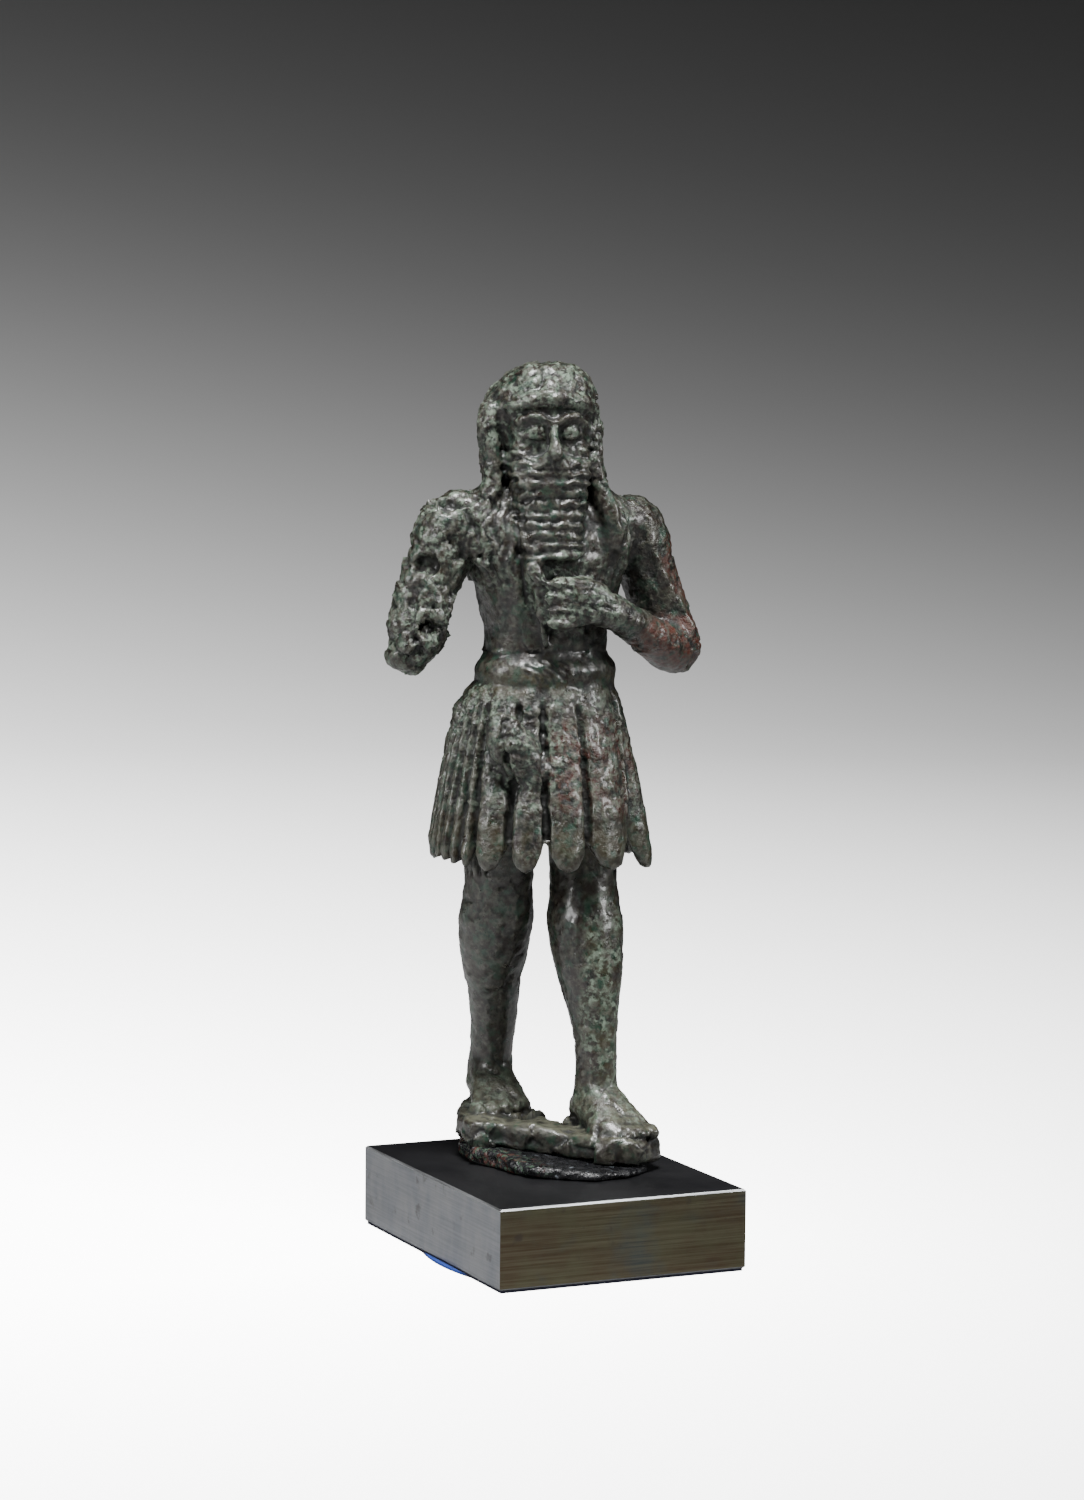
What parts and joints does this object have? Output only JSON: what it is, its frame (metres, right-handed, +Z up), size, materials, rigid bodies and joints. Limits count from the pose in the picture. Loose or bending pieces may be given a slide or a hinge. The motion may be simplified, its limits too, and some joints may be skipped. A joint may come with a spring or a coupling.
{
  "type": "praying man statuette",
  "caption": "Small cast bronze of a bearded man in a petal kilt, a fist on his chest and the other forearm lost, on a broken slab set on a steel block",
  "frame": {"origin": "centre of the block's underside, at the bottom of the liner that the object stands on", "axes": "+Z up, and the man faces -Y, so his own left arm is on +X and his right arm on -X"},
  "size_m": [0.0652, 0.065, 0.1682],
  "materials": {
    "patinated_bronze": "corroded dark green-brown patina, waxed, with pale green crust",
    "black_compound": "lumpy, glossy black",
    "brushed_block": "coarsely brushed, dulled, blackened on top",
    "blue_felt": "thin, dense, dark blue"
  },
  "bodies": {
    "root": {"figure": "patinated_bronze", "setting_pad": "black_compound", "plinth": "brushed_block", "felt_liner": "blue_felt"}
  },
  "joints": []
}
